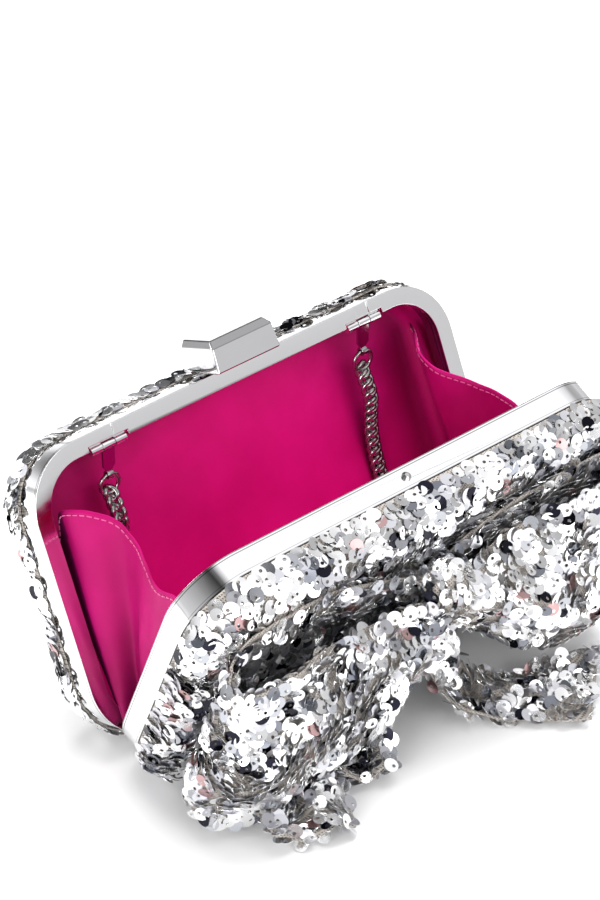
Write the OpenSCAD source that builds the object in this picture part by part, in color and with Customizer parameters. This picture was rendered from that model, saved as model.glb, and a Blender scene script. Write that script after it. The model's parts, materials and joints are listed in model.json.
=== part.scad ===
// Evening bag: a hinged, hard-shelled box clutch, standing open on its two back edges.
// Millimetres, +Z up, X along the bag, +Y towards the rear half. The floor is Z = 0.
// Each half is drawn closed: x along the bag, y its depth behind the mating plane, z its height.

/* [Bag] */
// Length of the frame, corner to corner
bag_w = 200; // [170:1:240]
// Height of the frame
bag_h = 113.5; // [100:0.5:130]
// Depth of one half, mating plane to back
half_depth = 25; // [22:0.5:32]
// Outer radius of the frame's corners
corner_r = 24; // [20:0.5:30]
// Radius of the shell's back edge
back_r = 10; // [8:0.5:12]
// Angle between the halves when the gussets stop them
open_angle = 47; // [40:0.5:60]

/* [Frame] */
// Width of the flat mating face
face_w = 6.8; // [6:0.1:8]
// Depth of the polished outer band
band_d = 10; // [8:0.1:12]
// Metal thickness of the frame
metal_t = 1.1; // [0.9:0.1:1.3]

/* [Hinge] */
// Height of the hinge axis above the frame's bottom edge
axis_z = 1.2; // [1.2:0.05:1.5]
// Radius of the hinge knuckles
knuckle_r = 1.15; // [1:0.05:1.2]
// Radius of the hinge pins
hinge_pin_r = 0.6; // [0.5:0.05:0.7]
// Distance of each hinge from the middle
hinge_x = 52; // [40:1:65]

/* [Clasp] */
// Length of the clasp block
block_w = 29.6; // [26:0.2:34]
// Height of the clasp block
block_h = 12.3; // [10:0.1:14]
// Overhang of the block in front of the mating plane
block_front = 10; // [9.5:0.1:11]
// Reach of the block behind the mating plane
block_back = 12.5; // [12:0.1:14]
// Height of the released block above the frame
block_gap = 1.7; // [1.6:0.05:2]
// Radius of the stud on the front frame
stud_r = 1.75; // [1.5:0.05:2]

/* [Chain] */
// Distance of each bail from the middle
bail_x = 61.5; // [55:0.5:66]
// Length of a bail tab, axis to axis
tab_len = 13; // [11:0.5:15]
// Width of the chain
chain_w = 7; // [6:0.5:8]
// Thickness of the chain
chain_t = 3.2; // [2.8:0.1:3.6]
// Length of one run of the stowed chain
hank_run = 118; // [110:1:122]

/* [Bow] */
// Half height of a loop at its outer end
loop_rise = 38; // [28:1:42]
// Distance from the hinge axis to the tip of the tails on the floor
tail_reach = 97; // [85:1:110]

/* [Hidden] */
$fn = 48;

lean = open_angle / 2;          // each half leans this far from upright
gap = 0.2;                      // from the mating plane to each frame's face
fit = 0.05;                     // radial running clearance of a pin
eps = 0.01;
face_t = 1.2;                   // thickness of the mating flange
lip_t = 0.9;                    // return lip along the flange's inner edge
lip_d = 2.6;                    // depth of that lip

// Layers of a half, as insets from the frame's outer edge
cover_t = 1.2;                  // sequinned cover
board_in = 1.3;                 // stiff shell board, outer face
board_t = 1.6;
board_front = 2.6;              // the board starts this far behind the mating plane
lining_in = 4.4;                // lining, outer face
lining_t = 0.9;
lining_back = half_depth - 3.1; // depth of the lining's back face

// The hinge axis stands this high when both back edges touch the floor
hinge_h = back_r + (half_depth - back_r) * sin(lean) - (back_r - axis_z) * cos(lean);
// Furthest point of the rear half behind the hinge axis
back_reach = (half_depth - back_r) * cos(lean) + (bag_h - back_r - axis_z) * sin(lean) + back_r;
origin_y = (tail_reach - back_reach) / 2;

// ---- Placing -------------------------------------------------------------------------------

// Moves the hinge axis from the X axis to its place above the floor
module stand() { translate([0, origin_y, hinge_h]) children(); }
module rear_half() { stand() rotate([-lean, 0, 0]) translate([0, 0, -axis_z]) children(); }
module front_half() {
  stand() rotate([lean, 0, 0]) translate([0, 0, -axis_z]) mirror([0, 1, 0]) children();
}
module both_sides() { children(); mirror([1, 0, 0]) children(); }
module at_hinges() { for (s = [-1, 1]) translate([s * hinge_x, 0, 0]) children(); }

// A plumb frame whose origin is a point of the rear half
function rear_point(y, z) = [
  origin_y + y * cos(lean) + (z - axis_z) * sin(lean),
  hinge_h + (z - axis_z) * cos(lean) - y * sin(lean)];
module plumb_at(x, p) { translate([x, p[0], p[1]]) children(); }

// ---- Building blocks ------------------------------------------------------------------------

// A cylinder along X, centred
module rod(r, len) { rotate([0, 90, 0]) cylinder(r = r, h = len, center = true); }

// Sweeps a profile of [depth, inset] points round a rounded rectangle that stands in XZ
module rim(w, h, r, pts) {
  turned = [for (p = pts) [r - p[1], p[0]]];
  for (i = [0:3]) {
    long = (i % 2 == 0) ? w : h;
    wide = (i % 2 == 0) ? h : w;
    translate([0, 0, h / 2]) rotate([0, 90 * i, 0]) {
      translate([r - long / 2, 0, -wide / 2]) rotate([90, 0, 90])
        linear_extrude(long - 2 * r) polygon(pts);
      translate([long / 2 - r, 0, r - wide / 2]) rotate([-90, 0, 0])
        rotate_extrude(angle = 90) polygon(turned);
    }
  }
}

// A rounded rectangular plate that stands in XZ, y0 to y0 + t deep
module slab(w, h, r, y0, t) {
  translate([-(w / 2 - r), y0, 0]) cube([w - 2 * r, t, h]);
  translate([-w / 2, y0, r]) cube([w, t, h - 2 * r]);
  for (x = [-1, 1], z = [r, h - r])
    translate([x * (w / 2 - r), y0, z]) rotate([-90, 0, 0]) cylinder(r = r, h = t);
}

// Points of a rounded edge of radius r that turns from the wall into the back
function edge_arc(back, inset, r, steps) = [for (k = [0:steps])
  [back - r + r * sin(90 * k / steps), inset + r - r * cos(90 * k / steps)]];
function reversed(list) = [for (k = [len(list) - 1:-1:0]) list[k]];

// A pan with rounded back edges: wall inset, front depth, back depth, thickness
module pan(inset, front, back, t, steps = 6) {
  r = back_r - inset;
  outer = edge_arc(back, inset, r, steps);
  inner = edge_arc(back - t, inset + t, r - t, steps);
  rim(bag_w, bag_h, corner_r, concat([[front, inset]], outer, reversed(inner), [[front, inset + t]]));
  edge = inset + r;
  translate([0, 0, edge]) slab(bag_w - 2 * edge, bag_h - 2 * edge, corner_r - edge, back - t, t);
}

// ---- Frames ---------------------------------------------------------------------------------

frame_profile = [[gap, 0], [band_d, 0], [band_d, metal_t], [gap + face_t, metal_t],
  [gap + face_t, face_w - lip_t], [lip_d, face_w - lip_t], [lip_d, face_w], [gap, face_w]];

// What a frame gives up so that it can turn on its hinges: a bevel below the axis and two notches
module hinge_relief() {
  bevel = (axis_z + 1) * tan(lean) + gap;
  translate([-bag_w / 2 + 14, 0, 0]) rotate([90, 0, 90]) linear_extrude(bag_w - 28)
    polygon([[-1, axis_z], [gap / 2, axis_z], [bevel, -1], [-1, -1]]);
  at_hinges() translate([-7, -1, -1]) cube([14, 3, 4.2]);
}

module frame_body() {
  difference() {
    rim(bag_w, bag_h, corner_r, frame_profile);
    hinge_relief();
  }
}

module rear_frame() {
  color("silver") rear_half() difference() {
    frame_body();
    for (s = [-1, 1]) translate([s * bail_x, 0, 0]) {
      translate([-9, -1, bag_h - 10]) cube([18, 6, 5.2]);
      translate([-3.1, -1, bag_h - 6]) cube([6.2, 1.7, 7]);
    }
    for (x = [-6, 6]) translate([x, 6, bag_h]) cylinder(r = 0.9, h = 5, center = true);
  }
}

module front_frame() {
  color("silver") front_half() difference() {
    frame_body();
    translate([0, band_d / 2, bag_h]) cylinder(r = 0.8, h = 5, center = true);
  }
}

// ---- Shells, covers, linings ----------------------------------------------------------------

module shell_pan() { pan(board_in, board_front, half_depth - 1.5, board_t); }
module cover_pan() { pan(0, band_d + gap, half_depth, cover_t); }
module lining_pan() {
  difference() {
    pan(lining_in, board_front, lining_back, lining_t);
    at_hinges() translate([-8, 0, 0]) cube([16, 3.2, 5]);
  }
}
module rear_shell() { color("dimgray") rear_half() shell_pan(); }
module front_shell() { color("dimgray") front_half() shell_pan(); }
module rear_cover() { color("gainsboro") rear_half() cover_pan(); }
module front_cover() { color("gainsboro") front_half() cover_pan(); }
module rear_lining() { color("mediumvioletred") rear_half() lining_pan(); }
module front_lining() { color("mediumvioletred") front_half() lining_pan(); }

// ---- Main hinge -----------------------------------------------------------------------------

knuckle_len = 4;
knuckle_step = knuckle_len + 0.3;

// A leaf behind the mating flange, with knuckles at the given places along it
module leaf(places) {
  difference() {
    union() {
      translate([-6.4, 1.45, 1.3]) cube([12.8, 0.9, 3]);
      for (x = places) translate([x, 0, axis_z]) {
        rod(knuckle_r, knuckle_len);
        translate([-knuckle_len / 2, 0.4, -0.1]) cube([knuckle_len, 1.6, 1.2]);
      }
    }
    translate([0, 0, axis_z]) rod(hinge_pin_r + fit, 20);
  }
}
module rear_hinge_leaves() {
  color("silver") rear_half() at_hinges() leaf([-knuckle_step, knuckle_step]);
}
module front_hinge_leaves() { color("silver") front_half() at_hinges() leaf([0]); }
module hinge_pins() {
  color("gray") rear_half() at_hinges() translate([0, 0, axis_z]) rod(hinge_pin_r, 3 * knuckle_len + 0.6);
}

// ---- Clasp ----------------------------------------------------------------------------------

pivot_y = 8.4;
pivot_z = bag_h + 4.4;
clasp_pin_r = 0.8;
block_t = 1.4;
block_z = bag_h + block_gap;
taper = 1.6;
chamfer = 2.4;

// Outline of the block's cross-section, with a chamfer along its front top edge
function block_outline(in) =
  let (low = in > 0 ? -1 : 0, cut = chamfer + in * 0.4) [
    [-block_front + in, low],
    [-block_front + 0.5 + in, block_h - cut],
    [-block_front + 0.5 + cut, block_h - in],
    [block_back - 2 - in, block_h - in],
    [block_back - in, low]];

// The block's outer or inner form: the cross-section between two sloping ends
module block_form(in) {
  half = block_w / 2 - in;
  top = block_h - in;
  intersection() {
    translate([-block_w / 2, 0, 0]) rotate([90, 0, 90]) linear_extrude(block_w) polygon(block_outline(in));
    translate([0, 50, 0]) rotate([90, 0, 0]) linear_extrude(100)
      polygon([[-half, -1], [half, -1], [half - 0.6, top - 2.6], [half - taper - 0.6, top],
        [-half + taper + 0.6, top], [-half + 0.6, top - 2.6]]);
  }
}
module clasp_block() {
  color("silver") rear_half() difference() {
    translate([0, 0, block_z]) union() {
      difference() { block_form(0); block_form(block_t); }
      for (s = [-1, 1]) translate([s * 12, pivot_y, pivot_z - block_z]) rod(2, 3);
    }
    translate([0, pivot_y, pivot_z]) rod(clasp_pin_r + 0.02, block_w - 4);
  }
}
catch_t = 1;
module clasp_catch() {
  color("silver") rear_half() difference() {
    translate([-5, -block_front + block_t + 0.1, block_z]) cube([10, 7.4, catch_t]);
    translate([0, -band_d / 2, block_z]) cylinder(r = stud_r + 0.45, h = 5, center = true);
  }
}
base_t = 0.9;
module clasp_base() {
  color("silver") rear_half() difference() {
    union() {
      translate([-9.6, 2, bag_h]) cube([19.2, 9, base_t]);
      for (s = [-1, 1]) translate([s * 9, pivot_y, 0]) {
        translate([-0.6, -1.5, bag_h]) cube([1.2, 3, pivot_z - bag_h]);
        translate([0, 0, pivot_z]) rod(1.5, 1.2);
      }
    }
    translate([0, pivot_y, pivot_z]) rod(clasp_pin_r + fit, 30);
    for (x = [-6, 6]) translate([x, 6, bag_h]) cylinder(r = 0.9, h = 5, center = true);
  }
}
module clasp_rivets() {
  color("gray") rear_half() for (x = [-6, 6]) translate([x, 6, 0]) {
    translate([0, 0, bag_h + base_t]) cylinder(r1 = 1.6, r2 = 1, h = 0.7);
    translate([0, 0, bag_h - metal_t]) cylinder(r = 0.85, h = metal_t + base_t + eps);
    translate([0, 0, bag_h - metal_t - 0.15]) cylinder(r = 1.25, h = 0.15);
  }
}
module clasp_pin() {
  color("gray") rear_half() translate([0, pivot_y, pivot_z]) rod(clasp_pin_r, block_w - 5);
}

spring_r = 1.5;
spring_wire = 0.22;
spring_len = 2.2;
// Torsion spring round the clasp pin: its close turns as a sleeve, and its two legs
module clasp_spring() {
  color("dimgray") rear_half() translate([0, pivot_y, pivot_z]) {
    difference() {
      rod(spring_r + spring_wire, spring_len);
      rod(spring_r - spring_wire, spring_len + 1);
    }
    for (s = [-1, 1]) translate([s * (spring_len / 2 - 0.3), 0, s * spring_r])
      rotate([90, 0, 0]) cylinder(r = spring_wire, h = 6);
  }
}

stud_h = 1.3;
// Domed stud riveted through the top band of the front frame
module clasp_stud() {
  color("silver") front_half() translate([0, band_d / 2, bag_h]) {
    cylinder(r = stud_r, h = stud_h * 0.45);
    translate([0, 0, stud_h * 0.45]) cylinder(r1 = stud_r, r2 = stud_r * 0.45, h = stud_h * 0.55);
    translate([0, 0, -metal_t]) cylinder(r = 0.75, h = metal_t + eps);
    translate([0, 0, -metal_t - 0.15]) cylinder(r = 1.4, h = 0.15);
  }
}

// ---- Bails and rings ------------------------------------------------------------------------

bail_y = 1.95;
bail_z = bag_h - face_w - 0.5;
bail_r = 1.65;
bail_pin_r = 0.6;
tab_w = 5.4;
tab_t = 1;
eye_w = 2.6;
eye_r = 1.7;
eye_hole = 1.05;
bail_point = rear_point(bail_y, bail_z);

// Two fixed knuckles on a plate behind the mating flange, on each side
module bail_brackets() {
  color("silver") rear_half() for (s = [-1, 1]) translate([s * bail_x, 0, 0]) difference() {
    union() {
      translate([-8, 1.45, bag_h - 5.3]) cube([16, 0.9, 3.8]);
      for (k = [-1, 1]) translate([k * 5.5, bail_y, bail_z]) {
        rod(bail_r, 5);
        translate([-2.5, -0.5, 0]) cube([5, 0.9, 3]);
      }
    }
    translate([0, bail_y, bail_z]) rod(bail_pin_r + fit, 20);
  }
}
module bail_pins() {
  color("gray") for (s = [-1, 1]) plumb_at(s * bail_x, bail_point) rod(bail_pin_r, 16);
}

// A tab that hangs plumb from its barrel, narrowing to a cross-drilled eye
module bail_tab(x) {
  color("silver") plumb_at(x, bail_point) difference() {
    union() {
      rod(bail_r, tab_w);
      translate([0, tab_t / 2, 0]) rotate([90, 0, 0]) linear_extrude(tab_t)
        polygon([[-tab_w / 2, 0], [tab_w / 2, 0], [tab_w / 2, -tab_len + 4], [eye_w / 2, -tab_len + 2],
          [eye_w / 2, -tab_len], [-eye_w / 2, -tab_len], [-eye_w / 2, -tab_len + 2],
          [-tab_w / 2, -tab_len + 4]]);
      translate([0, 0, -tab_len]) rod(eye_r, eye_w);
    }
    rod(bail_pin_r + fit, 20);
    translate([0, 0, -tab_len]) rod(eye_hole, 20);
  }
}
module left_bail_tab() { bail_tab(-bail_x); }
module right_bail_tab() { bail_tab(bail_x); }

ring_r = 4.25;
ring_wire = 0.75;
ring_drop = tab_len + ring_r - 0.1;
module ring(x) {
  color("silver") plumb_at(x, bail_point) translate([0, 0, -ring_drop]) rotate([90, 0, 0])
    rotate_extrude() translate([ring_r, 0, 0]) circle(r = ring_wire, $fn = 24);
}
module left_ring() { ring(-bail_x); }
module right_ring() { ring(bail_x); }

// ---- Chain ----------------------------------------------------------------------------------

// The stowed chain is a flat hank on the bottom of the rear half. A drop hangs from each ring,
// meets the lining and runs down it to the hank. Route of a drop: [depth, height] in the rear half.
hank_y = 12;
hank_bottom = 7.2;
hank_wide = 2 * chain_w + 0.6;
hank_tall = 4 * chain_t + 0.6;
hank_top = hank_bottom + hank_tall;
drop_top = -ring_drop - ring_r - ring_wire - 0.4;
drop_route = [[9.8, 76], [14, 66], [16.6, 58], [17.8, 50], [18.2, 42], [18.2, 34], [17.6, 26],
  [16.6, hank_top + 0.3]];

function drop_points() = concat([[bail_point[0], bail_point[1] + drop_top]],
  [for (p = drop_route) rear_point(p[0], p[1])]);

// A flat tube swept down the points; its rings are level, stretched to the chain's width along X
module chain_drop(x) {
  pts = drop_points();
  n = len(pts);
  corners = [for (p = pts, k = [0:7])
    [x + chain_w / 2 * cos(45 * k), p[0] + chain_t / 2 * sin(45 * k), p[1]]];
  sides = [for (i = [0:n - 2], k = [0:7])
    [8 * i + k, 8 * i + (k + 1) % 8, 8 * (i + 1) + (k + 1) % 8, 8 * (i + 1) + k]];
  ends = [[for (k = [7:-1:0]) k], [for (k = [0:7]) 8 * (n - 1) + k]];
  color("dimgray") polyhedron(points = corners, faces = concat(sides, ends), convexity = 4);
}
module left_chain_drop() { chain_drop(-bail_x); }
module right_chain_drop() { chain_drop(bail_x); }
module chain_hank() {
  color("dimgray") rear_half() translate([0, hank_y, hank_bottom]) {
    translate([-hank_run / 2, -hank_wide / 2, 0]) cube([hank_run, hank_wide, hank_tall]);
    for (s = [-1, 1]) translate([s * hank_run / 2, 0, 0]) cylinder(r = hank_wide / 2, h = hank_tall);
  }
}

// ---- Gussets --------------------------------------------------------------------------------

gusset_r = 84;      // from the hinge axis to the wavy top edge
gusset_t = 0.8;
gusset_x = bag_w / 2 - face_w - 2.6;
// A fan of fabric between the halves, its top edge dipping between the two frames
module gusset(s) {
  steps = 8;
  inner = 8;
  from = 90 - lean + 3;
  sweep = open_angle - 6;
  rim_points = [for (k = [0:steps])
    let (a = from + sweep * k / steps, r = gusset_r + 4 * cos(720 * k / steps)) [r * cos(a), r * sin(a)]];
  color("mediumvioletred") stand() translate([s * gusset_x - gusset_t / 2, 0, 0]) rotate([90, 0, 90])
    linear_extrude(gusset_t) polygon(concat([for (a = [from + sweep, from]) [inner * cos(a), inner * sin(a)]],
      rim_points));
}
module left_gusset() { gusset(-1); }
module right_gusset() { gusset(1); }

// ---- Bow ------------------------------------------------------------------------------------

// Solid forms of the fabric bow on the front panel, in the closed front half unless noted
bow_y = half_depth + 1.4;
knot_r = 8;
knot_z = 76;
loop_z = 65;
loop_x = 80;
loop_r = 15;
module bow_knot() {
  color("gainsboro") front_half() translate([0, bow_y + knot_r, knot_z]) {
    for (s = [-1, 1]) translate([0, 0, s * 10]) sphere(r = knot_r);
    cylinder(r = knot_r, h = 20, center = true);
  }
}
// A loop: a teardrop seen from above, taller at its outer end than at the knot
module bow_loop(s) {
  color("gainsboro") front_half() intersection() {
    union() {
      translate([s * loop_x, bow_y + loop_r, 0]) cylinder(r = loop_r, h = bag_h);
      linear_extrude(bag_h) polygon([[s * 9, bow_y], [s * loop_x, bow_y],
        [s * loop_x, bow_y + 2 * loop_r], [s * 9, bow_y + 12]]);
    }
    translate([0, 100, 0]) rotate([90, 0, 0]) linear_extrude(100) polygon([[s * 8, knot_z - 13],
      [s * 60, loop_z - loop_rise], [s * 96, loop_z - loop_rise], [s * 96, loop_z + loop_rise],
      [s * 50, loop_z + loop_rise], [s * 8, knot_z + 13]]);
  }
}
module bow_left_loop() { bow_loop(-1); }
module bow_right_loop() { bow_loop(1); }

module ball(p, r) { translate(p) sphere(r = r, $fn = 24); }
// A tail: flat sections along a route of [x, y, z, half width], y from the hinge axis, z from the floor
tail_t = 3.5;
module tail(route) {
  color("gainsboro") translate([0, origin_y, 0]) for (k = [0:len(route) - 2]) hull()
    for (q = [route[k], route[k + 1]], s = [-1, 1])
      ball([q[0] + s * q[3] * 0.45, q[1] - s * q[3] * q[4], q[2] + tail_t], tail_t);
}
module bow_left_tail() {
  tail([[-14, -52, 26, 8, 0.2], [-50, -56, 2, 12, 0.2], [-69, -tail_reach + 15, 0, 20, 0.3]]);
}
module bow_short_tail() {
  tail([[4, -60, 24, 7, 0.2], [-16, -64, 8, 7, 0.2], [-33, -tail_reach + 25, 0, 9, 0.3]]);
}
module bow_right_tail() {
  tail([[26, -56, 22, 10, -0.2], [50, -62, 3, 18, 0.3], [66, -tail_reach + 10.2, 0, 22, 0.3]]);
}

rear_frame();
rear_shell();
rear_cover();
rear_lining();
rear_hinge_leaves();
hinge_pins();
clasp_base();
clasp_rivets();
clasp_pin();
clasp_spring();
bail_brackets();
bail_pins();
left_gusset();
right_gusset();
front_frame();
front_shell();
front_cover();
front_lining();
front_hinge_leaves();
clasp_stud();
bow_knot();
bow_left_loop();
bow_right_loop();
bow_left_tail();
bow_short_tail();
bow_right_tail();
clasp_block();
clasp_catch();
left_bail_tab();
right_bail_tab();
left_ring();
right_ring();
left_chain_drop();
right_chain_drop();
chain_hank();
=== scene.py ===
"""Evening bag: its looks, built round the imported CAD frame.

Blender works in metres, +Z up, +X along the bag and +Y towards the rear half. Shapes on a half are
written the way the half is drawn closed, in millimetres, as [x, depth, height]: depth is measured
from the mating plane outwards and height from the frame's bottom edge.
"""

import json
import math

import bmesh
import bpy
import numpy as np
from mathutils import Matrix, Vector, noise


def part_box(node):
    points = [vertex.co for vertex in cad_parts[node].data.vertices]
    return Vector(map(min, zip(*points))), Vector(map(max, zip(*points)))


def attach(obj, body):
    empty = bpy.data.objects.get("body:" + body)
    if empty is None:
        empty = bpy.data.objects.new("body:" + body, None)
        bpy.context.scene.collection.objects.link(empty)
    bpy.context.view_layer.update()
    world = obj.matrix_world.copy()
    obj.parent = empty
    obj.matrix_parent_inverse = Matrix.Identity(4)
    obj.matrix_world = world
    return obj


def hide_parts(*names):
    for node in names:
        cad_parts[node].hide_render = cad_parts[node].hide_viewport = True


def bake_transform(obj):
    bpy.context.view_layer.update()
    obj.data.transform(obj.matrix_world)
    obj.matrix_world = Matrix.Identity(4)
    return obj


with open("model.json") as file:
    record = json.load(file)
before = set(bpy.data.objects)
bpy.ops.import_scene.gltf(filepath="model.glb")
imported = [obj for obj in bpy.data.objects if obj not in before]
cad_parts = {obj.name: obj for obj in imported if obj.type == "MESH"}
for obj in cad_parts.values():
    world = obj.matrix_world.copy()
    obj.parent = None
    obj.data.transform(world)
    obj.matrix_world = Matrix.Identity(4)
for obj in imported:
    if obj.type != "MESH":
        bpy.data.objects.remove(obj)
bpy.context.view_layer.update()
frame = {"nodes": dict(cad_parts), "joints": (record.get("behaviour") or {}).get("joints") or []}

# Without a seed of its own, noise_vector takes one from the clock.
noise.seed_set(1)

MM = 0.001
REAR, FRONT = 1, -1

# ---- Sizes that the CAD model shares, in millimetres ------------------------------------------

BAG_W = (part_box("rear_frame")[1].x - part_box("rear_frame")[0].x) / MM
BAG_H = 113.5
HALF_DEPTH = 25.0
CORNER_R = 24.0
BACK_R = 10.0
AXIS_Z = 1.2       # height of the hinge axis over the frame's bottom edge
BAND_D = 10.0      # depth of the frame's polished band
LINING_INSET = 4.4
LINING_T = 0.9
LINING_BACK = 21.9
LIP_D = 2.6        # depth of the return lip inside the frame

joints = {joint["name"]: joint for joint in frame["joints"]}
HINGE = Vector(joints["frame_hinge"]["pos_m"])
OPEN_ANGLE = math.radians(-joints["frame_hinge"]["range_deg"][0])
LEAN = OPEN_ANGLE / 2
BAIL = Vector(joints["right_bail_swing"]["pos_m"])


def in_half(side, points):
    """Row-frame metres of points [x, depth, height] on the rear (1) or the front (-1) half."""
    p = np.asarray(points, float) * MM
    up = p[..., 2] - AXIS_Z * MM
    along = p[..., 1] * math.cos(LEAN) + up * math.sin(LEAN)
    height = HINGE.z + up * math.cos(LEAN) - p[..., 1] * math.sin(LEAN)
    return np.stack([p[..., 0], HINGE.y + side * along, height], -1)


def depth_in(side, points):
    """Depth in a half, in millimetres, of row-frame points."""
    along, up = side * (points[:, 1] - HINGE.y), points[:, 2] - HINGE.z
    return (along * math.cos(LEAN) - up * math.sin(LEAN)) / MM


# ---- Mesh helpers -----------------------------------------------------------------------------


def make(name, verts, faces, material, smooth=True):
    """A mesh piece from points in metres, with its doubled points welded."""
    mesh = bpy.data.meshes.new(name)
    mesh.from_pydata([tuple(v) for v in verts], [], [tuple(f) for f in faces])
    bm = bmesh.new()
    bm.from_mesh(mesh)
    bmesh.ops.remove_doubles(bm, verts=bm.verts, dist=2e-6)
    bm.to_mesh(mesh)
    bm.free()
    mesh.polygons.foreach_set("use_smooth", [smooth] * len(mesh.polygons))
    mesh.materials.append(material)
    piece = bpy.data.objects.new(name, mesh)
    bpy.context.scene.collection.objects.link(piece)
    return piece


def grid_faces(rows, columns, closed=False):
    """Quads between rows of points; a closed grid joins each row's ends."""
    steps = columns if closed else columns - 1
    return [
        (r * columns + c, r * columns + (c + 1) % columns,
         (r + 1) * columns + (c + 1) % columns, (r + 1) * columns + c)
        for r in range(rows - 1) for c in range(steps)
    ]


def thicken(piece, thickness):
    """Gives a sheet its thickness, half to each side, for good."""
    solid = piece.modifiers.new("thickness", "SOLIDIFY")
    solid.thickness = thickness
    solid.offset = 0.0
    solid.use_quality_normals = True
    apply_modifiers(piece)


def apply_modifiers(piece):
    """Makes a piece's modifiers part of its mesh."""
    graph = bpy.context.evaluated_depsgraph_get()
    baked = bpy.data.meshes.new_from_object(piece.evaluated_get(graph))
    piece.modifiers.clear()
    piece.data = baked


def tube(points, radius, sides):
    """Points and faces of a round tube along points; its ends are capped."""
    line = np.asarray(points, float)
    ahead = np.gradient(line, axis=0)
    ahead /= np.linalg.norm(ahead, axis=1)[:, None]
    across = np.cross(ahead, [0.31, 0.17, 0.93])
    across /= np.linalg.norm(across, axis=1)[:, None]
    other = np.cross(ahead, across)
    verts = []
    for p, a, b in zip(line, across, other):
        for k in range(sides):
            turn = 2 * math.pi * k / sides
            verts.append(p + radius * (math.cos(turn) * a + math.sin(turn) * b))
    faces = grid_faces(len(line), sides, closed=True)
    faces.append(tuple(reversed(range(sides))))
    faces.append(tuple(range((len(line) - 1) * sides, len(line) * sides)))
    return verts, faces


def merge(parts):
    """Joins lists of points and faces into one pair."""
    verts, faces = [], []
    for points, polygons in parts:
        start = len(verts)
        verts.extend(points)
        faces.extend(tuple(i + start for i in polygon) for polygon in polygons)
    return verts, faces


def smooth_line(stations, steps):
    """A smooth curve through given stations, each a row of numbers (Catmull-Rom)."""
    rows = np.asarray(stations, float)
    padded = np.vstack([2 * rows[0] - rows[1], rows, 2 * rows[-1] - rows[-2]])
    out = []
    for i in range(len(rows) - 1):
        a, b, c, d = padded[i:i + 4]
        for t in np.arange(steps) / steps:
            out.append(0.5 * (2 * b + (c - a) * t + (2 * a - 5 * b + 4 * c - d) * t ** 2
                              + (3 * b - a - 3 * c + d) * t ** 3))
    out.append(rows[-1])
    return np.array(out)


# ---- Camera -----------------------------------------------------------------------------------

CAMERA_PLACE = Vector((-0.7052, -0.8138, 0.8450))
CAMERA_HEADING = math.radians(40.057)
CAMERA_DOWN = math.radians(34.545)
CAMERA_ROLL = math.radians(-1.048)
CAMERA_LENS = 145.14


def make_camera():
    ahead = Vector((
        math.sin(CAMERA_HEADING) * math.cos(CAMERA_DOWN),
        math.cos(CAMERA_HEADING) * math.cos(CAMERA_DOWN),
        -math.sin(CAMERA_DOWN),
    ))
    level = Vector((math.cos(CAMERA_HEADING), -math.sin(CAMERA_HEADING), 0))
    up = level.cross(ahead)
    right = level * math.cos(CAMERA_ROLL) + up * math.sin(CAMERA_ROLL)
    up = right.cross(ahead)
    turn = Matrix((right, up, -ahead)).transposed().to_4x4()
    data = bpy.data.cameras.new("camera")
    data.lens = CAMERA_LENS
    data.sensor_fit = "AUTO"
    data.sensor_width = 36
    data.clip_start = 0.05
    data.clip_end = 50
    camera = bpy.data.objects.new("camera", data)
    camera.matrix_world = Matrix.Translation(CAMERA_PLACE) @ turn
    bpy.context.scene.collection.objects.link(camera)
    bpy.context.scene.camera = camera


make_camera()


# ---- Materials --------------------------------------------------------------------------------


# Lines across a band's depth, as shares of it: [middle, half width, grey]; the grey is painted shade in the
# band's seam lines.
SEAM_SHADE_LINES = [[0.052, 0.006, 0.2], [0.135, 0.012, 0.25], [0.87, 0.008, 0.5]]
SEAM_BLUR = 0.008
# The rolled back edge's dark grey is painted shade, where the band curls under towards the cover.
ROLLED_EDGE_SHADE = (0.945, 0.965, 0.12)  # where the band's rolled back edge begins and is dark, and its grey

# Places of the colour sockets on a Mix node
MIX_A, MIX_B, MIX_RESULT = 6, 7, 2


def set_stops(elements, stops, tint=(1, 1, 1)):
    """Gives a colour ramp its stops of (place, grey or colour)."""
    while len(elements) < len(stops):
        elements.new(0.5)
    for element, (place, colour) in zip(elements, stops):
        rgb = colour if hasattr(colour, "__len__") else (colour,) * 3
        element.position = place
        element.color = (*(value * share for value, share in zip(rgb, tint)), 1)


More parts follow.
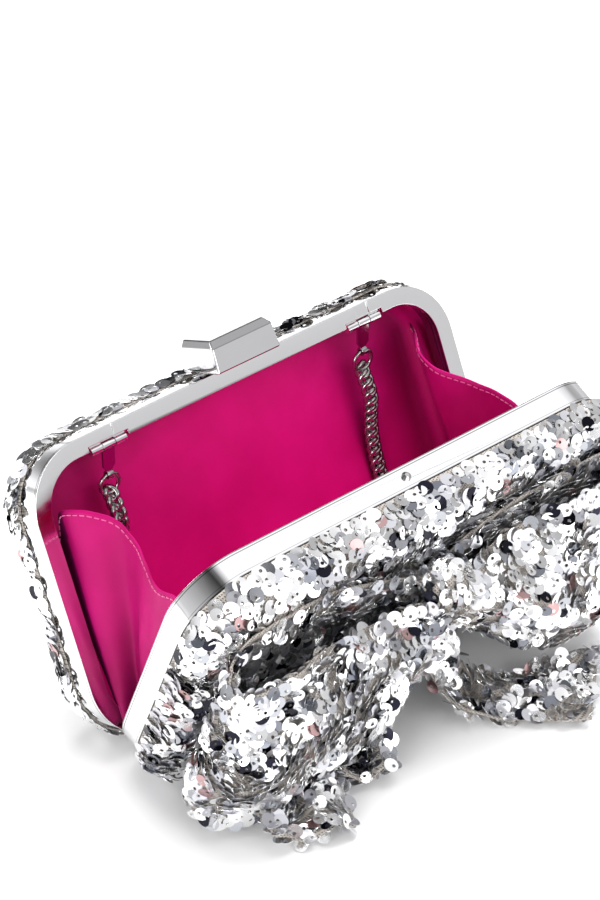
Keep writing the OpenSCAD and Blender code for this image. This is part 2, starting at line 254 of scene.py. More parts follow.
class Paint:
    """A Principled material and short ways to add the nodes that give it detail."""

    def __init__(self, name, **settings):
        self.material = bpy.data.materials.new(name)
        self.material.use_nodes = True
        self.tree = self.material.node_tree
        self.shader = self.tree.nodes["Principled BSDF"]
        for key, value in settings.items():
            self.shader.inputs[key.replace("_", " ")].default_value = value
        self.coords = self.tree.nodes.new("ShaderNodeTexCoord").outputs["Object"]

    def node(self, kind, **settings):
        made = self.tree.nodes.new(kind)
        for key, value in settings.items():
            if key in made.inputs:
                made.inputs[key].default_value = value
            else:
                setattr(made, key, value)
        return made

    def link(self, source, target):
        self.tree.links.new(source, target)

    def noise(self, scale, detail=3.0):
        """Fractal noise; scale is in features per metre."""
        made = self.node("ShaderNodeTexNoise", Scale=scale, Detail=detail)
        self.link(self.coords, made.inputs["Vector"])
        return made.outputs["Fac"]

    def ramp(self, source, stops):
        """A colour ramp with stops of (place, grey or colour)."""
        made = self.node("ShaderNodeValToRGB")
        set_stops(made.color_ramp.elements, stops)
        self.link(source, made.inputs["Fac"])
        return made.outputs["Color"]

    def into(self, source, name):
        self.link(source, self.shader.inputs[name])

    def bump(self, height, strength, distance, below=None):
        """Adds relief from a height, on top of the relief below it; distance is in metres."""
        made = self.node("ShaderNodeBump", Strength=strength, Distance=distance)
        self.link(height, made.inputs["Height"])
        if below:
            self.link(below, made.inputs["Normal"])
        self.into(made.outputs["Normal"], "Normal")
        return made.outputs["Normal"]

    def share_along(self, axis, origin, length):
        """How far along an axis a point is, from 0 at origin to 1 at length metres from it."""
        place = self.node("ShaderNodeVectorMath", operation="DOT_PRODUCT")
        place.inputs[1].default_value = axis
        self.link(self.coords, place.inputs[0])
        share = self.node("ShaderNodeMath", operation="MULTIPLY_ADD")
        share.inputs[1].default_value = 1 / length
        share.inputs[2].default_value = -Vector(origin).dot(axis) / length
        self.link(place.outputs["Value"], share.inputs[0])
        return share.outputs["Value"]

    def seam_lines_and_shade(self, side, tone):
        """Fine dark lines along a frame's band, painted shade: in its seam lines, and along its rolled back
        edge.
        """
        across = Vector((0, side * math.cos(LEAN), -math.sin(LEAN)))
        share = self.share_along(across, HINGE, BAND_D * MM)
        stops = [(0.0, tone)]
        for middle, half, dark in SEAM_SHADE_LINES:
            stops += [(middle - half - SEAM_BLUR, tone), (middle - half, dark), (middle + half, dark),
                      (middle + half + SEAM_BLUR, tone)]
        start, end, rolled = ROLLED_EDGE_SHADE
        stops += [(start, tone), (end, rolled)]
        self.into(self.ramp(share, stops), "Base Color")

    def weave(self, pitch, turn=(0, 0, 0)):
        """Two crossed sets of threads, pitch metres apart, as a height from 0 to 1."""
        mapping = self.node("ShaderNodeMapping")
        mapping.inputs["Rotation"].default_value = turn
        self.link(self.coords, mapping.inputs["Vector"])
        waves = []
        for direction in ("X", "Z"):
            wave = self.node("ShaderNodeTexWave", Scale=0.1 * math.pi / pitch)
            wave.bands_direction = direction
            wave.inputs["Distortion"].default_value = 0.6
            wave.inputs["Detail Scale"].default_value = 3.0
            self.link(mapping.outputs["Vector"], wave.inputs["Vector"])
            waves.append(wave.outputs["Fac"])
        joined = self.node("ShaderNodeMath", operation="MAXIMUM")
        self.link(waves[0], joined.inputs[0])
        self.link(waves[1], joined.inputs[1])
        return joined.outputs["Value"]


def polished_nickel(name, tone=0.9, low=0.05, high=0.13, side=0):
    """Mirror-polished plate with faint handling haze; where side says which half, a frame's seam lines and
    rolled back edge with painted shade.
    """
    paint = Paint(name, Metallic=1.0, Base_Color=(tone, tone, tone * 1.005, 1))
    paint.into(paint.ramp(paint.noise(160), [(0.35, low), (0.75, high)]), "Roughness")
    paint.bump(paint.noise(2600, 1.0), 0.04, 0.00002)
    if side:
        paint.seam_lines_and_shade(side, tone)
    return paint.material


def bail_nickel_shaded_below(name):
    """The bail tabs' plate, bright on the mating face and painted dark below, as the shade where it hangs
    inside the bag.
    """
    paint = Paint(name, Metallic=1.0, Roughness=0.1)
    below = 2 * MM
    height = paint.share_along(Vector((0, 0, 1)), BAIL - Vector((0, 0, below)), 2 * below)
    # Painted shade: the plate's colour drops from 0.85 to 0.36 below the bail's axis.
    paint.into(paint.ramp(height, [(0.4, 0.36), (0.6, 0.85)]), "Base Color")
    return paint.material


def satin_with_painted_shade(name, light, dark):
    """Fine woven satin: soft sheen, fine threads and slow changes of tone, with painted shade that darkens
    it in its corners.
    """
    paint = Paint(name, Roughness=0.48, Sheen_Weight=0.03, Sheen_Roughness=0.4)
    paint.shader.inputs["Sheen Tint"].default_value = (1.0, 0.35, 0.7, 1)
    paint.shader.inputs["Specular IOR Level"].default_value = 0.14
    # Ambient occlusion multiplies into the colour: painted shade in corners and creases.
    corner_shade = paint.node("ShaderNodeAmbientOcclusion", Distance=0.035, samples=8)
    tone = paint.node("ShaderNodeMix", data_type="RGBA", blend_type="MULTIPLY")
    tone.inputs["Factor"].default_value = 1.0
    paint.link(paint.ramp(paint.noise(45), [(0.3, dark), (0.75, light)]), tone.inputs[MIX_A])
    paint.link(paint.ramp(corner_shade.outputs["AO"], [(0.3, 0.3), (0.8, 1.0)]), tone.inputs[MIX_B])
    paint.into(tone.outputs[MIX_RESULT], "Base Color")
    threads = paint.bump(paint.weave(0.00042, (LEAN, 0, 0)), 0.25, 0.00006)
    paint.bump(paint.noise(90, 2.0), 0.25, 0.0006, threads)
    return paint.material


def tulle(name):
    """The taupe net that carries the sequins."""
    paint = Paint(name, Roughness=0.7, Sheen_Weight=0.25)
    threads = paint.weave(0.0009, (LEAN, 0.4, 0))
    paint.into(paint.ramp(threads, [(0.3, (0.12, 0.105, 0.095)), (0.75, (0.44, 0.4, 0.36))]),
               "Base Color")
    paint.bump(threads, 0.6, 0.0003)
    return paint.material


def sequin_foil(name, colour, roughness):
    """Metallised film on a thin plastic disc."""
    paint = Paint(name, Metallic=1.0, Roughness=roughness, Base_Color=(*colour, 1))
    return paint.material


def gunmetal(name, tone):
    """Dull plated metal, rubbed a little brighter in places."""
    paint = Paint(name, Metallic=1.0, Base_Color=(tone, tone * 0.98, tone * 0.96, 1))
    paint.into(paint.ramp(paint.noise(420), [(0.3, 0.16), (0.7, 0.3)]), "Roughness")
    paint.bump(paint.noise(2400, 1.0), 0.08, 0.00003)
    return paint.material


def thread(name, colour):
    """Sewing thread with a slight sheen."""
    paint = Paint(name, Roughness=0.45, Sheen_Weight=0.5, Base_Color=(*colour, 1))
    paint.bump(paint.noise(5000, 1.0), 0.5, 0.00005)
    return paint.material


REAR_METAL = polished_nickel("rear_frame_nickel", side=REAR)
FRONT_METAL = polished_nickel("front_frame_nickel", side=FRONT)
CLASP_METAL = polished_nickel("clasp_nickel", 0.74, 0.05, 0.12)
# A darker copy of the clasp's nickel: painted shade for the block's sloping chamfers.
CLASP_SLOPE_SHADE = polished_nickel("clasp_slope_painted_shade", 0.34, 0.08, 0.2)
RETURN_METAL = polished_nickel("return_nickel", 0.6, 0.04, 0.1)
TAB_METAL_SHADED_BELOW = bail_nickel_shaded_below("tab_nickel_painted_shade")
HARDWARE_METAL = polished_nickel("hardware_nickel", 0.8, 0.1, 0.24)
PIN_METAL = gunmetal("pin_steel", 0.55)
CHAIN_METAL = gunmetal("chain_gunmetal", 0.36)
LINING_SATIN = satin_with_painted_shade("lining_satin", (0.8, 0.005, 0.24), (0.68, 0.003, 0.19))
# The gusset satin is the lining's satin painted darker as shade, for the gussets lie in shade between the
# halves.
GUSSET_SATIN_PAINTED_SHADE = satin_with_painted_shade("gusset_satin_painted_shade", (0.53, 0.003, 0.16), (0.4, 0.002, 0.11))
# The return satin is painted darker still: the shade where the left gusset turns back.
RETURN_SATIN_PAINTED_SHADE = satin_with_painted_shade("return_satin_painted_shade", (0.24, 0.001, 0.1), (0.18, 0.001, 0.08))
PINK_THREAD = thread("pink_thread", (0.86, 0.09, 0.36))
NET = tulle("taupe_net")
BOARD = gunmetal("board_grey", 0.3)
# Each foil of the sequins, and its share of them; the steel and dark foils are painted reflection, standing
# in for discs that mirror dark surroundings.
FOILS = [
    (sequin_foil("foil_silver", (0.97, 0.97, 0.97), 0.2), 0.6),
    (sequin_foil("foil_satin", (0.72, 0.72, 0.76), 0.3), 0.17),
    (sequin_foil("foil_grey", (0.45, 0.46, 0.49), 0.26), 0.11),
    (sequin_foil("foil_steel_painted_reflection", (0.2, 0.21, 0.24), 0.2), 0.05),
    (sequin_foil("foil_dark_painted_reflection", (0.02, 0.02, 0.03), 0.18), 0.05),
    (sequin_foil("foil_blush", (0.56, 0.36, 0.36), 0.3), 0.02),
]


# ---- Chain ------------------------------------------------------------------------------------

CHAIN_W = 7.0
CHAIN_T = 3.2
LINK_WIRE = 1.15    # radius of the wire
LINK_PITCH = 3.7
LINK_TWIST = math.radians(40)
LINK_SLANT = math.radians(28)
LINK_STEPS, WIRE_SIDES = 22, 7
FIRST_LINK = 21.65  # below the bail's axis, in the bottom of the ring
# A hanging end on the rear half: [depth, height]
DROP_ROUTE = [[9.8, 76], [14, 66], [16.6, 58], [17.8, 50], [18.2, 42], [18.2, 34], [17.6, 26],
              [17.0, 20.8]]
HANK_RUN = 118.0
HANK_DEPTH = 12.0
HANK_BOTTOM = 7.3
HANK_GAP = 0.3      # between the hank's two columns
HANK_FOLD = 4.5     # how far a fold reaches past the run


def drop_line(x):
    """One hanging end, from its ring down the lining to the hank."""
    top = Vector((x * MM, BAIL.y, BAIL.z - FIRST_LINK * MM))
    lower = in_half(REAR, [[x, depth, height] for depth, height in DROP_ROUTE])
    return np.vstack([[tuple(top)], lower])


def hank_line():
    """Seven runs in two columns of layers, from the left end to the right end."""
    half = HANK_RUN / 2
    aside = (CHAIN_W + HANK_GAP) / 2
    front, back = HANK_DEPTH - aside, HANK_DEPTH + aside
    places = [(back, layer) for layer in (3, 2, 1, 0)] + [(front, layer) for layer in (0, 1, 2)]
    line = []
    for i, (depth, layer) in enumerate(places):
        way = 1 if i % 2 == 0 else -1
        height = HANK_BOTTOM + CHAIN_T * (layer + 0.5)
        line += [[way * x, depth, height] for x in np.linspace(-half, half, 16)]
        if i < len(places) - 1:
            next_depth, next_layer = places[i + 1]
            middle = HANK_BOTTOM + CHAIN_T * ((layer + next_layer) / 2 + 0.5)
            line.append([way * (half + HANK_FOLD), (depth + next_depth) / 2, middle])
    return in_half(REAR, line)


def even(line, step):
    """Points step apart along a line."""
    lengths = np.r_[0, np.cumsum(np.linalg.norm(np.diff(line, axis=0), axis=1))]
    count = max(2, round(lengths[-1] / step) + 1)
    wanted = np.linspace(0, lengths[-1], count)
    return np.stack([np.interp(wanted, lengths, line[:, k]) for k in range(3)], 1)


def curb_link(centre, ahead, across, out):
    """A curb link: an oval of wire, slanted across the chain and twisted from end to end."""
    long, wide = (LINK_PITCH + 2 * LINK_WIRE) / 2, CHAIN_W / 2 - LINK_WIRE
    t = 2 * np.pi * np.arange(LINK_STEPS) / LINK_STEPS
    twist = LINK_TWIST * np.cos(t)
    x, y = long * np.cos(t), wide * np.sin(t) * np.cos(twist)
    wire = np.stack([x * math.cos(LINK_SLANT) - y * math.sin(LINK_SLANT),
                     x * math.sin(LINK_SLANT) + y * math.cos(LINK_SLANT),
                     wide * np.sin(t) * np.sin(twist)], 1)
    along = np.roll(wire, -1, 0) - np.roll(wire, 1, 0)
    along /= np.linalg.norm(along, axis=1)[:, None]
    side = np.cross(along, wire)
    side /= np.linalg.norm(side, axis=1)[:, None]
    other = np.cross(along, side)
    a = 2 * np.pi * np.arange(WIRE_SIDES) / WIRE_SIDES
    skin = wire[:, None] + LINK_WIRE * (np.cos(a)[None, :, None] * side[:, None]
                                        + np.sin(a)[None, :, None] * other[:, None])
    skin = skin.reshape(-1, 3) * MM
    verts = centre + skin[:, :1] * ahead + skin[:, 1:2] * across + skin[:, 2:] * out
    faces = []
    for i in range(LINK_STEPS):
        here, after = i * WIRE_SIDES, (i + 1) % LINK_STEPS * WIRE_SIDES
        for k in range(WIRE_SIDES):
            k_after = (k + 1) % WIRE_SIDES
            faces.append((here + k, here + k_after, after + k_after, after + k))
    return list(verts), faces


def make_chain():
    """The shoulder chain, link by link: two hanging ends, and the rest of it folded in the bottom."""
    left, right = drop_line(-BAIL.x / MM), drop_line(BAIL.x / MM)[::-1]
    route = smooth_line(np.vstack([left, hank_line(), right]), 4)
    path = even(route, LINK_PITCH * MM)
    ahead = np.gradient(path, axis=0)
    ahead /= np.linalg.norm(ahead, axis=1)[:, None]
    rear_up = in_half(REAR, [0, 0, 1]) - in_half(REAR, [0, 0, 0])
    links = []
    hanging = len(even(left, LINK_PITCH * MM))
    for i, (centre, forward) in enumerate(zip(path, ahead)):
        loose = i < hanging or i > len(path) - hanging
        across = np.array([1.0, 0, 0]) if loose else np.cross(rear_up / MM, forward)
        across = across - forward * across.dot(forward)
        across /= np.linalg.norm(across)
        links.append(curb_link(centre, forward, across, np.cross(forward, across)))
    chain = make("shoulder_chain", *merge(links), CHAIN_METAL)
    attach(chain, "chain")
    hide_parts("left_chain_drop", "chain_hank", "right_chain_drop")


make_chain()


# ---- CAD metal --------------------------------------------------------------------------------

METALS = {
    "rear_frame": REAR_METAL, "front_frame": FRONT_METAL,
    "clasp_catch": CLASP_METAL, "clasp_stud": PIN_METAL,
    "clasp_base": HARDWARE_METAL, "clasp_rivets": PIN_METAL, "clasp_pin": PIN_METAL,
    "clasp_spring": PIN_METAL, "bail_brackets": HARDWARE_METAL, "bail_pins": PIN_METAL,
    "left_bail_tab": TAB_METAL_SHADED_BELOW, "right_bail_tab": TAB_METAL_SHADED_BELOW,
    "left_ring": CHAIN_METAL, "right_ring": CHAIN_METAL,
    "rear_hinge_leaves": HARDWARE_METAL, "front_hinge_leaves": HARDWARE_METAL, "hinge_pins": PIN_METAL,
    "rear_shell": BOARD, "front_shell": BOARD,
}
# Width of each node's broken edge, in millimetres
EDGE_BREAK = {
    "rear_frame": 0.24, "front_frame": 0.24, "clasp_base": 0.1,
    "left_bail_tab": 0.1, "right_bail_tab": 0.1, "clasp_catch": 0.1,
}


def finish_cad_node(name, material):
    """Gives a CAD node its metal, and a fine broken edge where light catches it."""
    node = frame["nodes"][name]
    node.data.materials.clear()
    node.data.materials.append(material)
    if name in EDGE_BREAK:
        weld = node.modifiers.new("weld", "WELD")
        weld.merge_threshold = 2e-6
        bevel = node.modifiers.new("edge", "BEVEL")
        bevel.width = EDGE_BREAK[name] * MM
        bevel.segments = 2
        bevel.angle_limit = math.radians(35)
        node.modifiers.new("flats", "WEIGHTED_NORMAL").weight = 100


for node_name, metal in METALS.items():
    finish_cad_node(node_name, metal)


# ---- Clasp block ------------------------------------------------------------------------------

BLOCK_LIFT = 1.7
BLOCK_WALL = 1.4
CLASP_PIVOT = (8.4, BAG_H + 4.4)
BOSS_R = 2
BOSS_X = (10.5, 12, 13.4)
# Each break in the block's form: [height, front depth, back depth, half length]
BLOCK_FORM = [[0, -10, 12.5, 14.8], [9.7, -9.5, 10.9, 14.2], [9.9, -9.45, 10.85, 14.05],
              [12.3, -7.1, 10.5, 12.6]]
# How far upwards a face of the block points, from 0 to 1, where it is one of its slopes that get painted
# shade
SHADED_SLOPES = (0.3, 0.96)


def block_hull(inset):
    """The block's convex form, or its hollow: the same form pulled in on all sides but the bottom."""
    bm = bmesh.new()
    for height, front, back, half in BLOCK_FORM:
        z = (height - inset if height else -inset) + BAG_H + BLOCK_LIFT
        for x in (inset - half, half - inset):
            for depth in (front + inset, back - inset):
                bm.verts.new(in_half(REAR, [x, depth, z]))
    bmesh.ops.convex_hull(bm, input=bm.verts)
    bmesh.ops.dissolve_limit(bm, angle_limit=math.radians(1), verts=bm.verts, edges=bm.edges)
    if not inset:
        sharp = [e for e in bm.edges if e.calc_face_angle(0) > math.radians(12)]
        bmesh.ops.bevel(bm, geom=sharp, offset=0.55 * MM, segments=4, profile=0.5, affect="EDGES")
    mesh = bpy.data.meshes.new("block")
    bm.to_mesh(mesh)
    bm.free()
    return mesh


def make_clasp_block():
    """The polished hollow casting that turns on the clasp pin, with its two bosses."""
    block = bpy.data.objects.new("clasp_block_casting", block_hull(0))
    hollow = bpy.data.objects.new("hollow", block_hull(BLOCK_WALL))
    for piece in (block, hollow):
        bpy.context.scene.collection.objects.link(piece)
    cut = block.modifiers.new("hollow", "BOOLEAN")
    cut.object = hollow
    cut.solver = "EXACT"
    apply_modifiers(block)
    bpy.data.objects.remove(hollow)
    bosses = [tube(in_half(REAR, [[side * x, *CLASP_PIVOT] for x in BOSS_X]), BOSS_R * MM, 24)
              for side in (-1, 1)]
    pair = make("bosses", *merge(bosses), CLASP_METAL, smooth=False)
    bm = bmesh.new()
    bm.from_mesh(block.data)
    bm.from_mesh(pair.data)
    bm.to_mesh(block.data)
    bm.free()
    bpy.data.objects.remove(pair)
    block.data.polygons.foreach_set("use_smooth", [False] * len(block.data.polygons))
    block.data.materials.clear()
    block.data.materials.append(CLASP_METAL)
    block.data.materials.append(CLASP_SLOPE_SHADE)
    # Faces that slope up at these angles take the dark nickel: painted shade on the block's chamfers.
    up = Vector((0, math.sin(LEAN), math.cos(LEAN)))
    for face in block.data.polygons:
        if SHADED_SLOPES[0] < face.normal.dot(up) < SHADED_SLOPES[1]:
            face.material_index = 1
    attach(block, "clasp")
    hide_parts("clasp_block")


make_clasp_block()


# ---- Pans: the covers and linings ---------------------------------------------------------------

CORNER_STEPS, LONG_STEPS, SHORT_STEPS = 10, 60, 30


def ring(inset, depth):
    """A rounded rectangle inside the frame's outer edge, at one depth."""
    half_w, half_h = BAG_W / 2 - inset, BAG_H / 2 - inset
    r = max(CORNER_R - inset, 0.0)
    corners = [(half_w - r, r - half_h, -90), (half_w - r, half_h - r, 0),
               (r - half_w, half_h - r, 90), (r - half_w, r - half_h, 180)]
    arcs = []
    for cx, cz, start in corners:
        turn = np.radians(np.linspace(start, start + 90, CORNER_STEPS + 1))
        arcs.append(np.stack([cx + r * np.cos(turn), cz + r * np.sin(turn)], 1))
    points = []
    for i, arc in enumerate(arcs):
        steps = SHORT_STEPS if i % 2 == 0 else LONG_STEPS
        share = (np.arange(1, steps) / steps)[:, None]
        points += [arc, arc[-1] + share * (arcs[(i + 1) % 4][0] - arc[-1])]
    flat = np.vstack(points)
    return np.stack([flat[:, 0], np.full(len(flat), depth), flat[:, 1] + BAG_H / 2], 1)


def pan(inset, front, back):
    """Rings from a pan's front edge, round its back edge and in to its middle line."""
    r = BACK_R - inset
    rings = [ring(inset, depth) for depth in np.linspace(front, back - r, 5)]
    for turn in np.radians(np.linspace(0, 90, 8))[1:]:
        rings.append(ring(inset + r - r * math.cos(turn), back - r + r * math.sin(turn)))
    for further in np.linspace(BACK_R, BAG_H / 2, 18)[1:]:
        rings.append(ring(further, back))
    return np.array(rings)


def dent(points, amount, size, seed):
    """Slow waves of +-amount mm, size mm long, for cloth that isn't quite flat."""
    return np.array([amount * noise.noise(Vector(p) / size + Vector((seed, 0, 0))) for p in points])


def make_lining(side, name, body, seed):
    """The satin lining of a half, glued over its board; its wall is the metal return of the band."""
    rings = pan(LINING_INSET + LINING_T, LIP_D + 0.05, LINING_BACK - LINING_T)
    shape = rings.shape
    points = rings.reshape(-1, 3)
    level = np.repeat(np.arange(shape[0]), shape[1])
    ease = np.clip(level / 4, 0, 1)
    points[:, 1] -= ease * (0.35 + dent(points, 0.55, 26, seed) + dent(points, 0.18, 7, seed + 5))
    lining = make(name, in_half(side, points), grid_faces(shape[0], shape[1], closed=True), LINING_SATIN)
    lining.data.materials.append(RETURN_METAL)
    for face in lining.data.polygons:
        face.material_index = int(depth_in(side, np.array([face.center]))[0] < BAND_D)
    thicken(lining, 0.5 * MM)
    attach(lining, body)
    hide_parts(body + "_lining")


def make_cover(side, name, body):
    """The net cover of a half, pulled over the board; the sequins are sewn to it."""
    rings = pan(0.0, BAND_D + 0.25, HALF_DEPTH - 0.3)
    shape = rings.shape
    points = rings.reshape(-1, 3)
    cover = make(name, in_half(side, points), grid_faces(shape[0], shape[1], closed=True), NET)
    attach(cover, body)
    return cover


make_lining(REAR, "rear_satin_lining", "rear", 3)
make_lining(FRONT, "front_satin_lining", "front", 11)


# ---- Sequins ------------------------------------------------------------------------------------

SEQUIN_R = 2.8
SEQUIN_HOLE_R = 0.68
SEQUIN_HOLE_AT = 1.1
SEQUIN_CUP = 0.08
SEQUIN_T = 0.1
SEQUIN_SIDES = 14
SEQUIN_LIFT = 0.5
SEQUIN_SIZES = {0.86: 0.15, 1.0: 0.6, 1.04: 0.25}  # each size with its share
SEQUINS_PER_PIECE = 1100
STEEPEST = 78       # degrees
LOWEST = 0.2 * MM   # no disc comes nearer to the floor
COVER_SPACING = 2.7 * MM
BOW_SPACING = 2.75 * MM


def sequin_shape():
    """One faintly cupped disc with its hole off centre: closed, facing +Z, in millimetres."""
    loop = [(0, 0.0), (1, SEQUIN_CUP), (1, SEQUIN_CUP + SEQUIN_T), (0, SEQUIN_T)]
    verts = []
    for k in range(SEQUIN_SIDES):
        turn = 2 * math.pi * k / SEQUIN_SIDES
        hole = (SEQUIN_HOLE_R * math.cos(turn) + SEQUIN_HOLE_AT, SEQUIN_HOLE_R * math.sin(turn))
        edge = (SEQUIN_R * math.cos(turn), SEQUIN_R * math.sin(turn))
        verts += [[*(edge if outer else hole), height] for outer, height in loop]
    n = len(loop)
    faces = [(k * n + i, ((k + 1) % SEQUIN_SIDES) * n + i, ((k + 1) % SEQUIN_SIDES) * n + (i + 1) % n,
              k * n + (i + 1) % n) for k in range(SEQUIN_SIDES) for i in range(n)]
    return np.array(verts), np.array(faces)


def scatter(piece, spacing, rng, keep=None, away_from=None, flip=False):
    """Random points on a piece, none nearer than spacing to another, and the normals there."""
    mesh = piece.data
    mesh.calc_loop_triangles()
    co = np.zeros(len(mesh.vertices) * 3)
    mesh.vertices.foreach_get("co", co)
    co = co.reshape(-1, 3)
    corners = np.zeros(len(mesh.loop_triangles) * 3, int)
    mesh.loop_triangles.foreach_get("vertices", corners)
    a, b, c = (co[corners.reshape(-1, 3)[:, k]] for k in range(3))
    cross = np.cross(b - a, c - a)
    area = np.linalg.norm(cross, axis=1) / 2
    tries = int(area.sum() / spacing ** 2 * 5)
    pick = rng.choice(len(area), tries, p=area / area.sum())
    u, v = rng.random(tries), rng.random(tries)
    over = u + v > 1
    u[over], v[over] = 1 - u[over], 1 - v[over]
    points = a[pick] + u[:, None] * (b - a)[pick] + v[:, None] * (c - a)[pick]
    normals = cross[pick] / (2 * area[pick, None] + 1e-15)
    if away_from is not None:
        back = ((points - away_from) * normals).sum(1) < 0
        normals[back] *= -1
    if flip:
        normals = -normals
    if keep is not None:
        wanted = keep(points, normals)
        points, normals = points[wanted], normals[wanted]
    cells, kept = {}, []
    for i, key in enumerate(map(tuple, np.floor(points / spacing).astype(int))):
        p = points[i]
        near = (
            q for dx in (-1, 0, 1) for dy in (-1, 0, 1) for dz in (-1, 0, 1)
            for q in cells.get((key[0] + dx, key[1] + dy, key[2] + dz), ())
        )
        if all((p[0] - q[0]) ** 2 + (p[1] - q[1]) ** 2 + (p[2] - q[2]) ** 2 > spacing ** 2 for q in near):
            cells.setdefault(key, []).append(p)
            kept.append(i)
    return points[kept], normals[kept]


def unit(vectors):
    """Rows of vectors, each made 1 long."""
    return vectors / (np.linalg.norm(vectors, axis=1)[:, None] + 1e-12)


def sew_sequins(name, body, points, normals, tilt, rng):
    """Sews discs at points. They lean tilt degrees, with neighbours leaning much the same way."""
    shape, faces = sequin_shape()
    count = len(points)
    drift = np.array([noise.noise_vector(Vector(p) * 55) for p in points])
    lean_way = unit(np.cross(normals, drift + 0.2 * rng.normal(size=(count, 3))))
    calm = np.array([0.5 + 0.5 * noise.noise(Vector(p) * 38 + Vector((7, 0, 0))) for p in points])
    angle = np.radians(np.clip(tilt * (0.45 + calm) + rng.normal(0, tilt * 0.35, count), 0, STEEPEST))
    face = unit(normals * np.cos(angle)[:, None] + lean_way * np.sin(angle)[:, None])
    spin = unit(np.cross(face, rng.normal(size=(count, 3))))
    third = np.cross(face, spin)
    size = rng.choice(list(SEQUIN_SIZES), count, p=list(SEQUIN_SIZES.values()))
    raised = (SEQUIN_LIFT + SEQUIN_R * np.sin(angle) * 0.5 + rng.random(count) * 0.5) * MM
    centre = points + normals * raised[:, None]
    local = shape[None] * (size[:, None, None] * MM)
    verts = (centre[:, None] + local[..., :1] * spin[:, None] + local[..., 1:2] * third[:, None]
             + local[..., 2:] * face[:, None])
    verts = verts[verts[..., 2].min(1) > LOWEST]
    foil = rng.choice(len(FOILS), len(verts), p=[share for _, share in FOILS])
    pieces = []
    for k in range(0, len(verts), SEQUINS_PER_PIECE):
        part = verts[k:k + SEQUINS_PER_PIECE]
        mesh = bpy.data.meshes.new(f"{name}_{len(pieces) + 1}")
        mesh.vertices.add(part.shape[0] * part.shape[1])
        mesh.vertices.foreach_set("co", part.ravel())
        quads = (faces[None] + (np.arange(len(part)) * part.shape[1])[:, None, None]).reshape(-1, 4)
        mesh.loops.add(quads.size)
        mesh.loops.foreach_set("vertex_index", quads.ravel())
        mesh.polygons.add(len(quads))
        mesh.polygons.foreach_set("loop_start", np.arange(0, quads.size, 4))
        mesh.polygons.foreach_set("material_index", np.repeat(foil[k:k + SEQUINS_PER_PIECE], len(faces)))
        mesh.polygons.foreach_set("use_smooth", [False] * len(quads))
        mesh.update(calc_edges=True)
        mesh.validate()
        for material, _ in FOILS:
            mesh.materials.append(material)
        piece = bpy.data.objects.new(mesh.name, mesh)
        bpy.context.scene.collection.objects.link(piece)
        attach(piece, body)
        pieces.append(piece)
    return pieces


# How far behind the band each half's sequins begin, in millimetres; the closed clasp needs room in front
CLEAR_OF_BAND = {REAR: 1.3, FRONT: 2.3}


def make_sequined_cover(side, body, seed):
    """A half's net cover with its sequins, which face away from the half's middle."""
    cover = make_cover(side, body + "_net_cover", body)
    rng = np.random.default_rng(seed)
    middle = in_half(side, [0, 8, BAG_H / 2])
    clear = BAND_D + CLEAR_OF_BAND[side]
    points, normals = scatter(cover, COVER_SPACING, rng, away_from=middle,
                              keep=lambda places, _: depth_in(side, places) > clear)
    thicken(cover, 0.4 * MM)
    sequins = sew_sequins(body + "_sequins", body, points, normals, 13, rng)
    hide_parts(body + "_cover")


make_sequined_cover(REAR, "rear", 21)
make_sequined_cover(FRONT, "front", 22)


# ---- Gussets --------------------------------------------------------------------------------------

GUSSET_X = BAG_W / 2 - 9.4
GUSSET_INNER = 8.0          # radius at which the fan begins
GUSSET_FROM, GUSSET_SPAN = -7, 61   # degrees from the rear mating plane
# Top edge of each gusset: [degrees from the rear mating plane, mm from the hinge axis]
LEFT_EDGE = [[-7, 76], [-4, 82], [-1, 90], [5, 91], [9, 88], [13, 83.5], [18, 80.5], [24, 80.5], [28, 79.5],
             [32, 77.5], [37, 79], [42, 83.5], [47, 87], [54, 89]]
RIGHT_EDGE = [[-7, 94], [-4, 92], [0, 87], [5, 81], [9, 78], [14, 75.5], [19, 73.5], [25, 73.5],
              [32, 74.5], [37, 74.5], [42, 76.5], [47, 80], [54, 83]]
GUSSET_ROWS = 40
# Each gusset's main fold: [degrees from the rear mating plane, depth in mm, width after it in degrees]
FOLDS = {-1: [13.0, 12.5, 17], 1: [2.0, 9.0, 12]}
FOLD_BEFORE = 6             # width before the fold's middle, in degrees
RETURN_FROM = 0.8           # depth in the rear half where the left gusset turns back, in shade
SEAM_IN = 1.9               # the stitched seam's distance from the wavy edge
STITCH_STEP = 0.9
STITCH_R = 0.22
STITCH_OUT = 0.5            # from the middle of the cloth to each face


def gusset_point(sign, degrees, radius, edge):
    """A point of a gusset: it hangs in one deep fold, and bellies in between the halves."""
    share = (degrees - GUSSET_FROM) / GUSSET_SPAN
    high = radius / edge
    middle, deep, after = FOLDS[sign]
    width = FOLD_BEFORE if degrees < middle else after
    fold = deep * math.exp(-((degrees - middle) / width) ** 2) * (0.35 + 0.65 * high)
    second = 2.0 * math.sin(share * math.pi * 3.0) * high
    crumple = 1.3 * noise.noise(Vector((degrees / 9, radius / 30, sign * 4)))
    tuck = 1.5 * math.cos(share * 2 * math.pi) - 1.5
    x = sign * (GUSSET_X - fold - second * 0.6 - crumple + tuck * 0.6)
    turn = math.pi / 2 - LEAN + math.radians(degrees)
    return [x * MM, HINGE.y + radius * MM * math.cos(turn), HINGE.z + radius * MM * math.sin(turn)]


